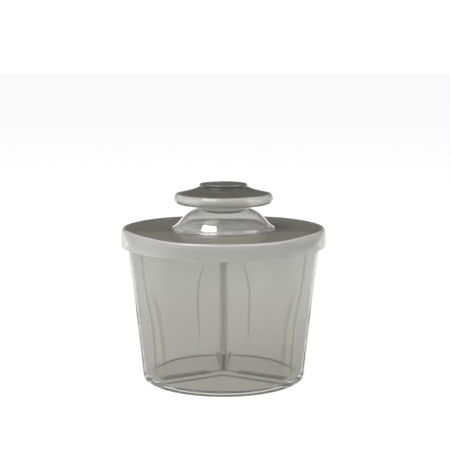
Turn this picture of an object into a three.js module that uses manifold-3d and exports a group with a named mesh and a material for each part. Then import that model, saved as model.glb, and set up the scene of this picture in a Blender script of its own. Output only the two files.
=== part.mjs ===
// Three-compartment formula dispenser: a round tub with a Y divider, a lobed lid that turns
// on the tub to choose a compartment, a clear bell spout on the lid and a mushroom cap.
// Millimetres, +Z up. The tub's axis is the Z axis and the table is z = 0.
import * as THREE from "three";
import { mergeVertices } from "three/addons/utils/BufferGeometryUtils.js";
import Module from "manifold-3d";

const wasm = await Module();
wasm.setup();

// ---- Driving dimensions -------------------------------------------------------------

// Tub: a drafted cup with a stepped rim and a flute over each wall of the divider.
const TUB_HEIGHT = 75.0;
const BASE_RADIUS = 43.2;
const SHOULDER_RADIUS = 51.0;
const TUB_WALL = 1.6;
const FLOOR_THICKNESS = 1.8;
const BASE_CORNER = 0.8;
const FLOOR_CORNER = 2.0;
const RIM_HEIGHT = 3.6;
const RIM_STEP = 0.5;
const FOOT_HEIGHT = 0.8;
const FOOT_RING_WIDTH = 4.5;
const FOOT_WEB_WIDTH = 7.0;
const FLUTE_DEPTH = 2.1;
const FLUTE_HALF_ANGLE = 16.5;
const FLUTE_RUNOUT = 12.0;
const FLUTE_DEEPEST_Z = 30.0;
const FLUTE_FOOT_SHARE = 0.15;

// Divider: three walls on one hub, dropped into ribs on the tub's floor.
const DIVIDER_WALL = 2.0;
const DIVIDER_HUB_RADIUS = 1.8;
const GUIDE_RIB_HEIGHT = 1.2;
const GUIDE_RIB_WALL = 1.0;
const GUIDE_RIB_START = 9.0;

// Lid: a flat plate, a lobed skirt, and a spigot that turns inside the tub's mouth.
const LID_PLATE = 1.7;
const SKIRT_DEPTH = 8.7;
const SKIRT_WALL = 1.4;
const SKIRT_OVERHANG = 3.6;
const LID_TOP_INSET = 0.7;
const LID_TOP_LOBE = 2.5;
const LID_FOOT_LOBE = 0.7;
const LID_TOP_FLAT = 0.6;
const LID_FOOT_FLAT = 0.1;
const LID_EDGE_RADIUS = 1.8;
const SPIGOT_DEPTH = 5.0;
const SPIGOT_WALL = 1.4;
const SEAL_LAND_HEIGHT = 2.1;
const WINDOW_HALF_ANGLE = 46.0;
const WINDOW_INNER_RADIUS = 6.5;
const WINDOW_MARGIN = 1.3;
const VENT_SIZE = 1.0;
const VENT_HEIGHT = 1.4;
const VENT_ANGLE = 255.5;

// Soft seals.
const LID_SEAL_HEIGHT = 1.3;
const CAP_LINER_HEIGHT = 1.2;

// Bell spout.
const SPOUT_FLANGE_RADIUS = 27.2;
const SPOUT_FLANGE_HEIGHT = 0.8;
const SPOUT_FLANGE_LEDGE = 0.9;
const SPOUT_FLANGE_EDGE = 0.5;
const SPOUT_WALL = 1.3;
const SPOUT_BELL_HEIGHT = 10.7;
const BELL_SIDE_LEAN = 5.8;
const BELL_SIDE_RISE = 6.0;
const BELL_SHOULDER_WIDTH = 6.0;
const BELL_SHOULDER_DROP = 2.2;
const NECK_RADIUS = 14.2;
const NECK_HEIGHT = 6.5;
const LOCATING_RING_HEIGHT = 1.0;
const LOCATING_RING_WALL = 1.0;
const LOCATING_RING_PLAY = 1.5;

// Cap: a finger rim, a flare that rises to a low boss, and a hollow plug.
const CAP_RADIUS = 26.4;
const CAP_RIM_HEIGHT = 5.8;
const CAP_RIM_DROP = 3.7;
const CAP_FLARE_RISE = 3.2;
const CAP_FLARE_LEAN = 2.4;
const CAP_FLARE_DROP = 1.7;
const CAP_FLARE_MEETS = 68;
const CAP_BOSS_RADIUS = 12.7;
const CAP_BOSS_HEIGHT = 1.3;
const CAP_DISH_DEPTH = 0.4;
const CAP_DISH_LIP = 1.0;
const CAP_WALL = 1.7;
const PLUG_WALL = 1.4;
const PLUG_DEPTH = 8.6;

// Clearances.
const SEAT_GAP = 0.1;
const SLIDE_GAP = 0.3;
const GUIDE_GAP = 0.25;

// Facets round a full turn, multiples of the three compartments, and steps along a curve.
const TUB_FACETS = 60;
const ROUND_FACETS = 42;
const HUB_FACETS = 18;
const WALL_STEPS = 7;
const FILLET_STEPS = 4;
const RIM_STEPS = 6;
const WINDOW_STEPS = 12;

const COMPARTMENTS = 3;
const DIVIDER_ANGLES = [90, 210, 330];
const POUR_ANGLE = 270;
const OVERCUT = 1.0;

// ---- Levels and radii that follow ----------------------------------------------------

const shoulderZ = TUB_HEIGHT - RIM_HEIGHT;
const rimRadius = SHOULDER_RADIUS - RIM_STEP;
const mouthRadius = SHOULDER_RADIUS - TUB_WALL;
const floorZ = FOOT_HEIGHT + FLOOR_THICKNESS;
const fluteTopZ = shoulderZ - FLUTE_RUNOUT;

const lidSealZ = TUB_HEIGHT + SEAT_GAP;
const landZ = lidSealZ + LID_SEAL_HEIGHT + SEAT_GAP;
const plateZ = landZ + SEAL_LAND_HEIGHT;
const lidTopZ = plateZ + LID_PLATE;
const skirtZ = lidTopZ - SKIRT_DEPTH;
const spigotZ = landZ - SPIGOT_DEPTH;
const spigotRadius = mouthRadius - SLIDE_GAP;
const skirtFootRadius = SHOULDER_RADIUS + SKIRT_OVERHANG;

const spoutZ = lidTopZ + SEAT_GAP;
const neckZ = spoutZ + SPOUT_BELL_HEIGHT;
const mouthZ = neckZ + NECK_HEIGHT;
const bellRadius = SPOUT_FLANGE_RADIUS - SPOUT_FLANGE_LEDGE;
const locatingRadius = bellRadius - SPOUT_WALL - LOCATING_RING_PLAY;
const windowRadius = locatingRadius - LOCATING_RING_WALL - WINDOW_MARGIN;

const linerZ = mouthZ + SEAT_GAP;
const capLandZ = linerZ + CAP_LINER_HEIGHT + SEAT_GAP;
const capRimZ = mouthZ - CAP_RIM_DROP;
const plugRadius = NECK_RADIUS - SPOUT_WALL - SLIDE_GAP;

// ---- Helpers -------------------------------------------------------------------------

const radians = THREE.MathUtils.degToRad;
const smooth = (x, low, high) => THREE.MathUtils.smoothstep(x, low, high);
const point = (x, y) => new THREE.Vector2(x, y);

// Signed volume of an indexed geometry: negative when its faces point inwards.
function signedVolume(positions, index) {
  const a = new THREE.Vector3();
  const b = new THREE.Vector3();
  const c = new THREE.Vector3();
  let volume = 0;
  for (let i = 0; i < index.length; i += 3) {
    a.fromArray(positions, index[i] * 3);
    b.fromArray(positions, index[i + 1] * 3);
    c.fromArray(positions, index[i + 2] * 3);
    volume += a.dot(b.cross(c)) / 6;
  }
  return volume;
}

// A closed geometry as a solid: welded, without the slivers on the axis, faces outwards.
function solid(geometry) {
  const bare = geometry.clone();
  bare.deleteAttribute("normal");
  bare.deleteAttribute("uv");
  const welded = mergeVertices(bare, 1e-4);
  const positions = Float32Array.from(welded.attributes.position.array);
  const kept = [];
  const index = welded.index.array;
  for (let i = 0; i < index.length; i += 3) {
    const [a, b, c] = [index[i], index[i + 1], index[i + 2]];
    if (a !== b && b !== c && c !== a) kept.push(a, b, c);
  }
  if (signedVolume(positions, kept) < 0) kept.reverse();
  const mesh = new wasm.Mesh({
    numProp: 3,
    vertProperties: positions,
    triVerts: Uint32Array.from(kept),
  });
  return new wasm.Manifold(mesh);
}

function toGeometry(body) {
  const mesh = body.getMesh();
  const geometry = new THREE.BufferGeometry();
  geometry.setAttribute("position", new THREE.BufferAttribute(mesh.vertProperties, 3));
  geometry.setIndex(new THREE.BufferAttribute(mesh.triVerts, 1));
  geometry.computeVertexNormals();
  return geometry;
}

// A profile of (radius, height) points turned about the Z axis.
function turned(profile, facets = ROUND_FACETS) {
  return new THREE.LatheGeometry(profile, facets).rotateX(Math.PI / 2);
}

// A closed ring of rectangular section.
function ring(inner, outer, low, high, facets = ROUND_FACETS) {
  const section = [point(inner, low), point(outer, low), point(outer, high), point(inner, high)];
  return turned([...section, section[0]], facets);
}

// Moves every vertex of a turned shape in or out: offset(angle, radius, z) is in millimetres.
function pressed(geometry, offset) {
  const position = geometry.attributes.position;
  for (let i = 0; i < position.count; i++) {
    const x = position.getX(i);
    const y = position.getY(i);
    const radius = Math.hypot(x, y);
    if (radius < 1e-6) continue;
    const angle = Math.atan2(y, x);
    const scale = (radius + offset(angle, radius, position.getZ(i))) / radius;
    position.setXY(i, x * scale, y * scale);
  }
  return geometry;
}

// An outline drawn in (radius, height), given a thickness and stood up at an angle.
function standing(outline, thickness, degrees, shift = 0) {
  const plate = new THREE.ExtrudeGeometry(outline, { depth: thickness, bevelEnabled: false });
  plate.translate(0, 0, shift - thickness / 2);
  plate.rotateX(Math.PI / 2);
  return plate.rotateZ(radians(degrees));
}

function rectangle(x0, y0, x1, y1) {
  return new THREE.Shape([point(x0, y0), point(x1, y0), point(x1, y1), point(x0, y1)]);
}

// A fillet: points on an arc about (cx, cy), both ends included.
function arc(cx, cy, radius, from, to, steps) {
  const points = [];
  for (let i = 0; i <= steps; i++) {
    const angle = radians(from + ((to - from) * i) / steps);
    points.push(point(cx + radius * Math.cos(angle), cy + radius * Math.sin(angle)));
  }
  return points;
}

// Points along a curve moved sideways, to the left of its direction of travel.
function beside(curve, distance, steps) {
  const points = [];
  for (let i = 0; i <= steps; i++) {
    const t = i / steps;
    const tangent = curve.getTangent(t);
    points.push(curve.getPoint(t).add(point(-tangent.y, tangent.x).multiplyScalar(distance)));
  }
  return points;
}

// ---- Tub -----------------------------------------------------------------------------

const tubDraft = (SHOULDER_RADIUS - BASE_RADIUS) / shoulderZ;
const tubLean = Math.atan(tubDraft);
const tubRadius = (z) => BASE_RADIUS + tubDraft * Math.min(z, shoulderZ);
const cornerTopZ = floorZ + FLOOR_CORNER;

// The heights at which the wall and the divider's edges are stepped.
const wallLevels = [];
for (let i = 1; i <= WALL_STEPS; i++) {
  wallLevels.push(THREE.MathUtils.lerp(cornerTopZ, fluteTopZ + RIM_HEIGHT, i / WALL_STEPS));
}

// Depth of a flute at its middle: it runs out below the rim and eases off towards the foot.
function fluteDepth(z) {
  if (z >= FLUTE_DEEPEST_Z) return FLUTE_DEPTH * (1 - smooth(z, FLUTE_DEEPEST_Z, fluteTopZ));
  const below = (FLUTE_DEEPEST_Z - z) / FLUTE_DEEPEST_Z;
  return FLUTE_DEPTH * (1 - (1 - FLUTE_FOOT_SHARE) * below * below);
}

// Half the angle a flute spans: it closes in an arch at the top.
function fluteHalfAngle(z) {
  const up = THREE.MathUtils.clamp((z - FLUTE_DEEPEST_Z) / (fluteTopZ - FLUTE_DEEPEST_Z), 0, 1);
  return FLUTE_HALF_ANGLE * Math.sqrt(Math.max(1 - up * up, SLIDE_GAP));
}

// How far the flutes press the wall in at an angle and a height: a scoop with a crisp edge.
function fluteOffset(angle, radius, z) {
  const half = fluteHalfAngle(z);
  const pitch = 360 / COMPARTMENTS;
  const turn = THREE.MathUtils.euclideanModulo(
    THREE.MathUtils.radToDeg(angle) - DIVIDER_ANGLES[0] + pitch / 2,
    pitch,
  );
  const across = Math.min(Math.abs(turn - pitch / 2) / half, 1);
  const nearWall = smooth(radius, BASE_RADIUS / 2, BASE_RADIUS - 3 * TUB_WALL);
  return -fluteDepth(z) * nearWall * (1 - across * across);
}

// The rounded foot of a drafted wall, from the floor up to where the wall begins.
function footFillet(wallRadius, z, radius) {
  const centre = wallRadius - radius / Math.cos(tubLean);
  const end = 360 - THREE.MathUtils.radToDeg(tubLean);
  return arc(centre, z, radius, 270, end, FILLET_STEPS);
}

function tubProfile() {
  const outside = [point(0, 0), ...footFillet(tubRadius(BASE_CORNER), BASE_CORNER, BASE_CORNER)];
  outside.push(...wallLevels.map((z) => point(tubRadius(z), z)));
  outside.push(point(SHOULDER_RADIUS, shoulderZ), point(rimRadius, shoulderZ));
  outside.push(point(rimRadius, TUB_HEIGHT));
  const inside = [point(mouthRadius, TUB_HEIGHT), point(mouthRadius, shoulderZ)];
  inside.push(...wallLevels.toReversed().map((z) => point(tubRadius(z) - TUB_WALL, z)));
  const corner = footFillet(tubRadius(cornerTopZ) - TUB_WALL, cornerTopZ, FLOOR_CORNER);
  inside.push(...corner.toReversed(), point(0, floorZ));
  return [...outside, ...inside];
}

// Three shallow pockets under the floor leave a foot ring and a web below each divider wall.
function footPockets() {
  const reach = BASE_RADIUS - FOOT_RING_WIDTH;
  const disc = new THREE.CylinderGeometry(reach, reach, 2 * FOOT_HEIGHT, ROUND_FACETS);
  let pockets = solid(disc.rotateX(Math.PI / 2));
  for (const angle of DIVIDER_ANGLES) {
    const web = rectangle(-FOOT_WEB_WIDTH / 4, -2 * FOOT_HEIGHT, BASE_RADIUS, 2 * FOOT_HEIGHT);
    pockets = pockets.subtract(solid(standing(web, FOOT_WEB_WIDTH, angle)));
  }
  return pockets;
}

// A pair of low ribs on the floor holds the foot of each divider wall.
function guideRibs() {
  const reach = tubRadius(floorZ) - TUB_WALL - FLOOR_CORNER - FLUTE_DEPTH;
  const outline = rectangle(GUIDE_RIB_START, floorZ - GUIDE_RIB_WALL, reach, floorZ + GUIDE_RIB_HEIGHT);
  const shift = (DIVIDER_WALL + GUIDE_RIB_WALL) / 2 + GUIDE_GAP;
  const ribs = [];
  for (const angle of DIVIDER_ANGLES) {
    ribs.push(solid(standing(outline, GUIDE_RIB_WALL, angle, shift)));
    ribs.push(solid(standing(outline, GUIDE_RIB_WALL, angle, -shift)));
  }
  return ribs;
}

function tub() {
  let body = solid(pressed(turned(tubProfile(), TUB_FACETS), fluteOffset));
  body = body.subtract(footPockets());
  for (const rib of guideRibs()) body = body.add(rib);
  return toGeometry(body);
}

// ---- Divider -------------------------------------------------------------------------

function dividerOutline() {
  const low = floorZ + SEAT_GAP;
  const high = plateZ - SLIDE_GAP;
  const notchZ = spigotZ - SLIDE_GAP;
  const notchRadius = spigotRadius - SPIGOT_WALL - SLIDE_GAP;
  const edge = (z) => tubRadius(z) - TUB_WALL - fluteDepth(z) - SLIDE_GAP;
  const cornerZ = low + FLOOR_CORNER;
  const outline = [point(0, low), point(edge(cornerZ) - 2 * FLOOR_CORNER, low)];
  for (const z of [cornerZ, ...wallLevels, notchZ]) outline.push(point(edge(z), z));
  outline.push(point(notchRadius, notchZ), point(notchRadius, high), point(0, high));
  return new THREE.Shape(outline);
}

function divider() {
  const low = floorZ + SEAT_GAP;
  const high = plateZ - SLIDE_GAP;
  const radius = DIVIDER_HUB_RADIUS;
  const hub = new THREE.CylinderGeometry(radius, radius, high - low, HUB_FACETS);
  hub.rotateX(Math.PI / 2).translate(0, 0, (low + high) / 2);
  let body = solid(hub);
  for (const angle of DIVIDER_ANGLES) {
    body = body.add(solid(standing(dividerOutline(), DIVIDER_WALL, angle)));
  }
  return toGeometry(body);
}

// ---- Lid -----------------------------------------------------------------------------

// The lid's outline swells in three lobes, most at its top edge and least at the skirt's foot.
function lobeOffset(angle, radius, z) {
  const down = THREE.MathUtils.clamp((lidTopZ - z) / SKIRT_DEPTH, 0, 1);
  const ease = Math.sin((down * Math.PI) / 2);
  const turn = COMPARTMENTS * (angle - radians(DIVIDER_ANGLES[0]));
  const lobe = THREE.MathUtils.lerp(LID_TOP_LOBE, LID_FOOT_LOBE, ease);
  const flat = THREE.MathUtils.lerp(LID_TOP_FLAT, LID_FOOT_FLAT, ease);
  const nearEdge = smooth(radius, SPOUT_FLANGE_RADIUS, skirtFootRadius - 3 * SKIRT_WALL);
  return -nearEdge * (lobe * Math.cos(turn) + flat * Math.cos(2 * turn));
}

function lidProfile() {
  const top = skirtFootRadius - LID_TOP_INSET;
  const level = (share) => plateZ - share * (plateZ - skirtZ);
  const radiusAt = (z) => {
    const down = THREE.MathUtils.clamp((lidTopZ - z) / SKIRT_DEPTH, 0, 1);
    return top + LID_TOP_INSET * Math.sin((down * Math.PI) / 2);
  };
  const edgeRadius = LID_EDGE_RADIUS;
  const edge = arc(top - edgeRadius, lidTopZ - edgeRadius, edgeRadius, 90, 10, FILLET_STEPS);
  const outside = [point(0, lidTopZ), point(SPOUT_FLANGE_RADIUS, lidTopZ), ...edge];
  for (const share of [0.25, 0.5, 0.75]) outside.push(point(radiusAt(level(share)), level(share)));
  const foot = SKIRT_WALL / 3;
  outside.push(point(skirtFootRadius, skirtZ + foot), point(skirtFootRadius - foot, skirtZ));
  const inside = [point(skirtFootRadius - SKIRT_WALL, skirtZ)];
  for (const share of [0.75, 0.5, 0.25, 0]) {
    inside.push(point(radiusAt(level(share)) - SKIRT_WALL, level(share)));
  }
  inside.push(point(SPOUT_FLANGE_RADIUS, plateZ), point(0, plateZ));
  return [...outside, ...inside];
}

// Land and spigot: the land presses the seal on the rim, the spigot centres the lid in the mouth.
function lidSpigot() {
  const inner = spigotRadius - SPIGOT_WALL;
  const section = [
    point(inner, spigotZ),
    point(spigotRadius, spigotZ),
    point(spigotRadius, landZ),
    point(rimRadius, landZ),
    point(rimRadius, plateZ + LID_PLATE / 2),
    point(inner, plateZ + LID_PLATE / 2),
  ];
  return turned([...section, section[0]], TUB_FACETS);
}

// The pie-shaped window that opens one compartment into the spout.
function pourWindow() {
  const from = radians(POUR_ANGLE - WINDOW_HALF_ANGLE);
  const to = radians(POUR_ANGLE + WINDOW_HALF_ANGLE);
  const outline = new THREE.Shape();
  outline.absarc(0, 0, windowRadius, from, to, false);
  outline.absarc(0, 0, WINDOW_INNER_RADIUS, to, from, true);
  const depth = LID_PLATE + 2 * OVERCUT;
  const options = { depth, bevelEnabled: false, curveSegments: WINDOW_STEPS };
  return new THREE.ExtrudeGeometry(outline, options).translate(0, 0, plateZ - OVERCUT);
}

// A small vent hole low in the skirt lets air in as the lid is pulled off.
function ventHole() {
  const inner = SHOULDER_RADIUS + OVERCUT;
  const outer = skirtFootRadius + LID_FOOT_LOBE + OVERCUT;
  const low = skirtZ + VENT_HEIGHT;
  return standing(rectangle(inner, low, outer, low + VENT_SIZE), VENT_SIZE, VENT_ANGLE);
}

function lid() {
  const shell = pressed(turned(lidProfile(), TUB_FACETS), lobeOffset);
  const locating = ring(
    locatingRadius - LOCATING_RING_WALL,
    locatingRadius,
    lidTopZ - LID_PLATE / 2,
    lidTopZ + LOCATING_RING_HEIGHT,
  );
  let body = solid(shell).add(solid(lidSpigot())).add(solid(locating));
  body = body.subtract(solid(pourWindow())).subtract(solid(ventHole()));
  return toGeometry(body);
}

// ---- Spout ---------------------------------------------------------------------------

function bellCurve() {
  const foot = spoutZ + SPOUT_FLANGE_HEIGHT;
  return new THREE.CubicBezierCurve(
    point(bellRadius, foot),
    point(bellRadius - BELL_SIDE_LEAN, foot + BELL_SIDE_RISE),
    point(NECK_RADIUS + BELL_SHOULDER_WIDTH, neckZ - BELL_SHOULDER_DROP),
    point(NECK_RADIUS, neckZ),
  );
}

function spout() {
  const bell = bellCurve();
  const outside = [
    point(SPOUT_FLANGE_RADIUS, spoutZ),
    point(SPOUT_FLANGE_RADIUS, spoutZ + SPOUT_FLANGE_EDGE),
    ...bell.getPoints(WALL_STEPS),
    point(NECK_RADIUS, mouthZ),
  ];
  // The bell's own foot would reach below the flange, so the inner wall ends at its corner.
  const [, ...innerWall] = beside(bell, SPOUT_WALL, WALL_STEPS);
  const inside = [point(NECK_RADIUS - SPOUT_WALL, mouthZ), ...innerWall.toReversed()];
  inside.push(point(bellRadius - SPOUT_WALL, spoutZ));
  return turned([...outside, ...inside, outside[0]]);
}

// ---- Cap -----------------------------------------------------------------------------

function capProfile() {
  const rimTopZ = capRimZ + CAP_RIM_HEIGHT;
  const flareTopZ = rimTopZ + CAP_FLARE_RISE;
  const bossTopZ = flareTopZ + CAP_BOSS_HEIGHT;
  const half = CAP_RIM_HEIGHT / 2;
  const rimCentre = CAP_RADIUS - half;
  const rim = arc(rimCentre, capRimZ + half, half, CAP_FLARE_MEETS, -90, RIM_STEPS);
  const flare = new THREE.QuadraticBezierCurve(
    point(CAP_BOSS_RADIUS, flareTopZ),
    point(CAP_BOSS_RADIUS + CAP_FLARE_LEAN, flareTopZ - CAP_FLARE_DROP),
    rim[0],
  );
  const dish = CAP_BOSS_RADIUS - CAP_DISH_LIP;
  const outside = [
    point(0, bossTopZ - CAP_DISH_DEPTH),
    point(dish - CAP_DISH_DEPTH, bossTopZ - CAP_DISH_DEPTH),
    point(dish, bossTopZ),
    point(CAP_BOSS_RADIUS - CAP_DISH_DEPTH, bossTopZ),
    point(CAP_BOSS_RADIUS, bossTopZ - CAP_DISH_DEPTH),
    ...flare.getPoints(FILLET_STEPS),
    ...rim.slice(1),
  ];
  const shellZ = rimTopZ - CAP_WALL;
  const hollowZ = bossTopZ - CAP_DISH_DEPTH - CAP_WALL;
  const underside = [
    point(rimCentre - CAP_WALL, capRimZ),
    point(rimCentre - CAP_WALL / 2, shellZ - CAP_WALL / 2),
    point(rimCentre - CAP_WALL, shellZ),
    point(NECK_RADIUS + SLIDE_GAP + CAP_WALL / 2, capLandZ),
    point(plugRadius, capLandZ),
    point(plugRadius, capLandZ - PLUG_DEPTH + PLUG_WALL / 2),
    point(plugRadius - PLUG_WALL / 2, capLandZ - PLUG_DEPTH),
    point(plugRadius - PLUG_WALL, capLandZ - PLUG_DEPTH),
    point(plugRadius - PLUG_WALL, flareTopZ - CAP_WALL),
    point(plugRadius - 2 * PLUG_WALL, hollowZ),
    point(0, hollowZ),
  ];
  return [...outside, ...underside];
}

// ---- Assembly ------------------------------------------------------------------------

const smokyPlastic = { color: 0xadaca8, roughness: 0.18, metalness: 0 };
const clearPlastic = { color: 0xd9dad6, roughness: 0.08, metalness: 0 };
const softSilicone = { color: 0xe3e2dd, roughness: 0.55, metalness: 0 };

const capBody = turned(capProfile());
const lidSeal = ring(
  spigotRadius + SLIDE_GAP / 2,
  rimRadius,
  lidSealZ,
  lidSealZ + LID_SEAL_HEIGHT,
  TUB_FACETS,
);
const capLiner = ring(
  plugRadius + SLIDE_GAP / 2,
  NECK_RADIUS,
  linerZ,
  linerZ + CAP_LINER_HEIGHT,
);

const pieces = [
  ["tub", tub(), smokyPlastic],
  ["divider", divider(), smokyPlastic],
  ["lid_seal", toGeometry(solid(lidSeal)), softSilicone],
  ["lid", lid(), smokyPlastic],
  ["pour_spout", toGeometry(solid(spout())), clearPlastic],
  ["cap", toGeometry(solid(capBody)), smokyPlastic],
  ["cap_liner", toGeometry(solid(capLiner)), softSilicone],
];

const dispenser = new THREE.Group();
for (const [name, geometry, finish] of pieces) {
  const mesh = new THREE.Mesh(geometry, new THREE.MeshStandardMaterial(finish));
  mesh.name = name;
  dispenser.add(mesh);
}

export default dispenser;
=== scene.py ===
"""Looks of the formula dispenser: a smoky three-compartment tub, a lobed lid, a clear bell
spout and a mushroom cap. Sizes below are in millimetres; meshes are written in metres."""
import math

import bmesh
import bpy
from mathutils import Matrix, Vector


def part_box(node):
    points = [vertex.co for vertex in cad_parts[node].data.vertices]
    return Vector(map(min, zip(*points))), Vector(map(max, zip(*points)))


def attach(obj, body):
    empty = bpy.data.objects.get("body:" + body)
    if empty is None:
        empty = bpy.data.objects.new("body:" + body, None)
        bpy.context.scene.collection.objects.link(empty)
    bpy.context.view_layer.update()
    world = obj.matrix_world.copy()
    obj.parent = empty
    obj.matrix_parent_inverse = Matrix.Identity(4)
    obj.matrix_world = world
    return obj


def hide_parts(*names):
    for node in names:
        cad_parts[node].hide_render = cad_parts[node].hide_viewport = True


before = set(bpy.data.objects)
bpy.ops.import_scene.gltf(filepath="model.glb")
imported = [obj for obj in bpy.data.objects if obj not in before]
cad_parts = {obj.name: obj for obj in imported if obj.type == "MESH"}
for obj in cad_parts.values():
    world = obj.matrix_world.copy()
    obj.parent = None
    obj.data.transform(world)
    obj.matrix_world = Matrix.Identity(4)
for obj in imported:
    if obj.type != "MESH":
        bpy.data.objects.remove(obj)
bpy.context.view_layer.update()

MM = 0.001
TAU = 2 * math.pi

# ---- Levels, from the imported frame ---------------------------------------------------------


def low(node):
    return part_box(node)[0].z / MM


def high(node):
    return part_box(node)[1].z / MM


RIM_HEIGHT = 3.6
SPOUT_RISE = 17.3
PLATE_WALL = 1.7
NECK_LENGTH = 6.5
SEAT_GAP = 0.1

TUB_TOP = high("tub")
SHOULDER = TUB_TOP - RIM_HEIGHT
SPOUT_FOOT = low("pour_spout")
MOUTH = high("pour_spout")
LID_TOP = MOUTH - SPOUT_RISE
PLATE = LID_TOP - PLATE_WALL
LAND = high("lid_seal") + SEAT_GAP
NECK_FOOT = MOUTH - NECK_LENGTH
CAP_TOP = high("cap")
PLUG_FOOT = low("cap")

# ---- Sizes of the mouldings ------------------------------------------------------------------

BASE_RADIUS = 43.2
SHOULDER_RADIUS = 51.0
RIM_RADIUS = 50.5
MOUTH_RADIUS = 49.4
TUB_WALL = 1.6
FLOOR = 2.6
CORNER = 2.0
FOOT_RING = 4.5
FOOT_WEB_HALF = 3.5
FOOT_POCKET = 0.8
DRAFT = (SHOULDER_RADIUS - BASE_RADIUS) / SHOULDER

FLUTE_DEPTH = 2.1
FLUTE_HALF_ANGLE = math.radians(16.5)
FLUTE_DEEPEST = 30.0
FLUTE_RUNOUT = 12.0
FLUTE_TOP = SHOULDER - FLUTE_RUNOUT
FLUTE_FOOT_SHARE = 0.15
FLUTE_LEAST_ARCH = 0.3
FLUTE_PITCH = TAU / 3
PRESSED_SHARE = 0.5625

WALL_HALF = 1.0
HUB_RADIUS = 1.8
HUB_FILLET = 0.12
HUB_FILLET_TURN = 0.66
WALL_PLAY = 0.3
RIB_WIDTH = 1.0
RIB_HEIGHT = 1.15
RIB_START = 9.0
RIB_PLAY = 0.25
WALL_ANGLES = [math.radians(a) for a in (90, 210, 330)]

SKIRT_DEPTH = 8.7
SKIRT_FOOT_RADIUS = 54.6
LID_TOP_RADIUS = 53.9
SKIRT_WALL = 1.4
SPIGOT_RADIUS = 49.1
SPIGOT_WALL = 1.4
SPIGOT_FOOT = low("lid")
SKIRT_FOOT = LID_TOP - SKIRT_DEPTH
LID_EDGE = 1.8

FLANGE_RADIUS = 27.2
BELL_RADIUS = 26.3
SPOUT_WALL = 1.3
NECK_RADIUS = 14.2
LOCATING_RADIUS = 23.5
WINDOW_RADIUS = 21.2
WINDOW_START = 6.5
WINDOW_HALF_ANGLE = math.radians(46)
POUR_ANGLE = math.radians(270)
VENT_RADIUS = 0.5
VENT_HEIGHT = 1.9
VENT_ANGLE = math.radians(255.5)

PLUG_RADIUS = 12.6
PLUG_WALL = 1.4
CAP_RADIUS = 26.4
CAP_RIM_FOOT = MOUTH - 3.7
CAP_RIM_HALF = 2.9
CAP_WALL = 1.7
BOSS_RADIUS = 12.7
DISH_DEPTH = 0.4
CAP_LAND = high("cap_liner") + SEAT_GAP

SEAL_PLAY = 0.15
SEAL_ROUND = 0.3

TURN_STEPS = 240

# ---- Node trees: a short way to write sums in either kind of tree ------------------------------


class Sums:
    """Math nodes written as calls: sums("ADD", a, b) gives the socket of the answer."""

    def __init__(self, tree):
        self.tree = tree

    def put(self, socket, value):
        if isinstance(value, bpy.types.NodeSocket):
            self.tree.links.new(value, socket)
        else:
            socket.default_value = value

    def __call__(self, operation, *values, clamp=False):
        node = self.tree.nodes.new("ShaderNodeMath")
        node.operation = operation
        node.use_clamp = clamp
        for socket, value in zip(node.inputs, values):
            self.put(socket, value)
        return node.outputs[0]

    def smooth(self, value, start, end):
        """A smooth step from 0 at start to 1 at end."""
        node = self.tree.nodes.new("ShaderNodeMapRange")
        node.interpolation_type = "SMOOTHSTEP"
        for name, item in (("Value", value), ("From Min", start), ("From Max", end)):
            self.put(node.inputs[name], item)
        return node.outputs[0]

    def mix(self, factor, first, second):
        """The first colour where factor is 0, the second where it is 1."""
        node = self.tree.nodes.new("ShaderNodeMix")
        node.data_type = "RGBA"
        sockets = (node.inputs["Factor"], node.inputs[6], node.inputs[7])
        for socket, value in zip(sockets, (factor, first, second)):
            self.put(socket, value)
        return node.outputs[2]

    def radius(self, x, y):
        """How far x and y are from the axis."""
        return self("SQRT", self("ADD", self("MULTIPLY", x, x), self("MULTIPLY", y, y)))


def object_place(tree):
    """The socket of the point's place on its own object."""
    return tree.nodes.new("ShaderNodeTexCoord").outputs["Object"]


def new_tree(name, kind, inputs, outputs):
    tree = bpy.data.node_groups.new(name, kind)
    for label, kind_of, value in inputs:
        socket = tree.interface.new_socket(label, in_out="INPUT", socket_type=kind_of)
        if value is not None:
            socket.default_value = value
    for label, kind_of in outputs:
        tree.interface.new_socket(label, in_out="OUTPUT", socket_type=kind_of)
    source = tree.nodes.new("NodeGroupInput")
    result = tree.nodes.new("NodeGroupOutput")
    return tree, source, result


GEOMETRY = "NodeSocketGeometry"
FLOAT = "NodeSocketFloat"
COLOUR = "NodeSocketColor"
MATERIAL = "NodeSocketMaterial"


def polar(tree):
    """The sums of a tree, and each point's x, y, z, angle and radius, as sockets."""
    sums = Sums(tree)
    place = tree.nodes.new("GeometryNodeInputPosition")
    split = tree.nodes.new("ShaderNodeSeparateXYZ")
    tree.links.new(place.outputs[0], split.inputs[0])
    x, y, z = split.outputs
    return sums, x, y, z, sums("ARCTAN2", y, x), sums("MAXIMUM", sums.radius(x, y), 1e-6)


def press_out(tree, source, result, sums, x, y, z, radius, offset):
    """Moves each point outwards by offset, then finishes the tree with its material."""
    links = tree.links
    scale = sums("DIVIDE", sums("ADD", radius, offset), radius)
    join = tree.nodes.new("ShaderNodeCombineXYZ")
    moved = (sums("MULTIPLY", x, scale), sums("MULTIPLY", y, scale), z)
    for socket, value in zip(join.inputs, moved):
        links.new(value, socket)
    move = tree.nodes.new("GeometryNodeSetPosition")
    links.new(source.outputs["Geometry"], move.inputs["Geometry"])
    links.new(join.outputs[0], move.inputs["Position"])
    end_tree(tree, source, result, move.outputs[0])


def end_tree(tree, source, result, geometry):
    """Makes instances real and gives the shape its material."""
    real = tree.nodes.new("GeometryNodeRealizeInstances")
    finish = tree.nodes.new("GeometryNodeSetMaterial")
    tree.links.new(geometry, real.inputs[0])
    tree.links.new(real.outputs[0], finish.inputs["Geometry"])
    tree.links.new(source.outputs["Material"], finish.inputs["Material"])
    tree.links.new(finish.outputs[0], result.inputs[0])


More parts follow.
